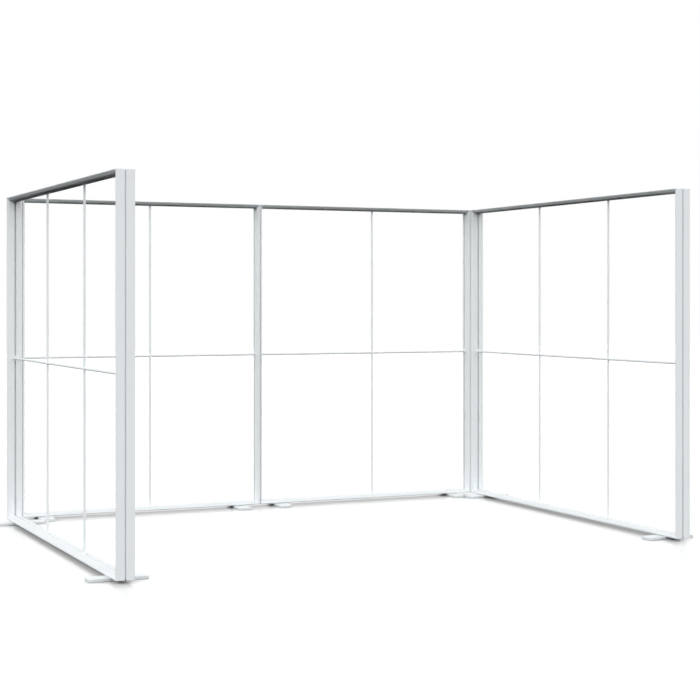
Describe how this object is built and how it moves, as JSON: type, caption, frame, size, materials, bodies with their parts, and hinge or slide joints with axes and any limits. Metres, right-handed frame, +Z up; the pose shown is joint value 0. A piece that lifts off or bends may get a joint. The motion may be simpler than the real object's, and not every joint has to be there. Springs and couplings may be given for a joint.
{
  "type": "lightbox display wall",
  "caption": "U-shaped exhibition wall of open aluminium lightbox frames joined at the corners, with LED boards inside the profile, cross bars and flat swivel feet.",
  "frame": {"origin": "on the floor, at the middle of the stand's width and depth over its feet", "axes": "+X to the right along the back wall, seen from the open front; +Y to the back; +Z up"},
  "size_m": [4.512, 3.256, 2.522],
  "materials": {
    "frame_white": "satin white powder coat",
    "bar_white": "satin white powder coat",
    "board_white": "white solder mask",
    "foot_white": "satin white powder coat on steel",
    "pad_rubber": "matte",
    "hub_white": "moulded white",
    "inner_aluminium": "mill finish",
    "driver_black": "moulded black",
    "grommet_rubber": "matte",
    "bolt_steel": "zinc plated",
    "washer_white": "acetal"
  },
  "bodies": {
    "stand": {"left_top_rail": "frame_white", "left_bottom_rail": "frame_white", "left_far_post": "frame_white", "left_near_post": "frame_white", "left_upright_bars": "bar_white", "left_cross_bars": "bar_white", "left_led_boards": "board_white", "back_left_top_rail": "frame_white", "back_left_bottom_rail": "frame_white", "back_left_outer_post": "frame_white", "back_left_inner_post": "frame_white", "back_left_upright_bars": "bar_white", "back_left_cross_bars": "bar_white", "back_left_led_boards": "board_white", "back_right_top_rail": "frame_white", "back_right_bottom_rail": "frame_white", "back_right_inner_post": "frame_white", "back_right_outer_post": "frame_white", "back_right_upright_bars": "bar_white", "back_right_cross_bars": "bar_white", "back_right_led_boards": "board_white", "right_top_rail": "frame_white", "right_bottom_rail": "frame_white", "right_far_post": "frame_white", "right_near_post": "frame_white", "right_upright_bars": "bar_white", "right_cross_bars": "bar_white", "right_led_boards": "board_white", "bar_hubs": "hub_white", "bar_end_plugs": "hub_white", "segment_splices": "inner_aluminium", "corner_keys": "inner_aluminium", "led_drivers": "driver_black", "cable_grommets": "grommet_rubber", "foot_pivot_bolts": "bolt_steel", "foot_washers": "washer_white", "foot_slot_nuts": "bolt_steel", "bracket_slot_nuts": "bolt_steel", "bracket_bolts": "bolt_steel", "corner_brackets": "frame_white", "frame_couplers": "inner_aluminium"},
    "left_far_swivel_foot": {"left_far_foot": "foot_white", "left_far_foot_pads": "pad_rubber"},
    "left_near_swivel_foot": {"left_near_foot": "foot_white", "left_near_foot_pads": "pad_rubber"},
    "back_left_outer_swivel_foot": {"back_left_outer_foot": "foot_white", "back_left_outer_foot_pads": "pad_rubber"},
    "back_left_inner_swivel_foot": {"back_left_inner_foot": "foot_white", "back_left_inner_foot_pads": "pad_rubber"},
    "back_right_inner_swivel_foot": {"back_right_inner_foot": "foot_white", "back_right_inner_foot_pads": "pad_rubber"},
    "back_right_outer_swivel_foot": {"back_right_outer_foot": "foot_white", "back_right_outer_foot_pads": "pad_rubber"},
    "right_far_swivel_foot": {"right_far_foot": "foot_white", "right_far_foot_pads": "pad_rubber"},
    "right_near_swivel_foot": {"right_near_foot": "foot_white", "right_near_foot_pads": "pad_rubber"}
  },
  "joints": [
    {"name": "left_far_foot_swivel", "type": "hinge", "parent": "stand", "child": "left_far_swivel_foot", "pos_m": [-2.061, 1.192, 0.022], "axis": [0, 0, 1], "range_deg": [-90, 0]},
    {"name": "left_near_foot_swivel", "type": "hinge", "parent": "stand", "child": "left_near_swivel_foot", "pos_m": [-2.061, -1.448, 0.022], "axis": [0, 0, 1], "range_deg": [0, 90]},
    {"name": "back_left_outer_foot_swivel", "type": "hinge", "parent": "stand", "child": "back_left_outer_swivel_foot", "pos_m": [-1.82, 1.433, 0.022], "axis": [0, 0, 1], "range_deg": [0, 90]},
    {"name": "back_left_inner_foot_swivel", "type": "hinge", "parent": "stand", "child": "back_left_inner_swivel_foot", "pos_m": [-0.18, 1.433, 0.022], "axis": [0, 0, 1], "range_deg": [-90, 0]},
    {"name": "back_right_inner_foot_swivel", "type": "hinge", "parent": "stand", "child": "back_right_inner_swivel_foot", "pos_m": [0.18, 1.433, 0.022], "axis": [0, 0, 1], "range_deg": [0, 90]},
    {"name": "back_right_outer_foot_swivel", "type": "hinge", "parent": "stand", "child": "back_right_outer_swivel_foot", "pos_m": [1.82, 1.433, 0.022], "axis": [0, 0, 1], "range_deg": [-90, 0]},
    {"name": "right_far_foot_swivel", "type": "hinge", "parent": "stand", "child": "right_far_swivel_foot", "pos_m": [2.061, 1.192, 0.022], "axis": [0, 0, 1], "range_deg": [0, 90]},
    {"name": "right_near_foot_swivel", "type": "hinge", "parent": "stand", "child": "right_near_swivel_foot", "pos_m": [2.061, -1.448, 0.022], "axis": [0, 0, 1], "range_deg": [-90, 0]}
  ]
}
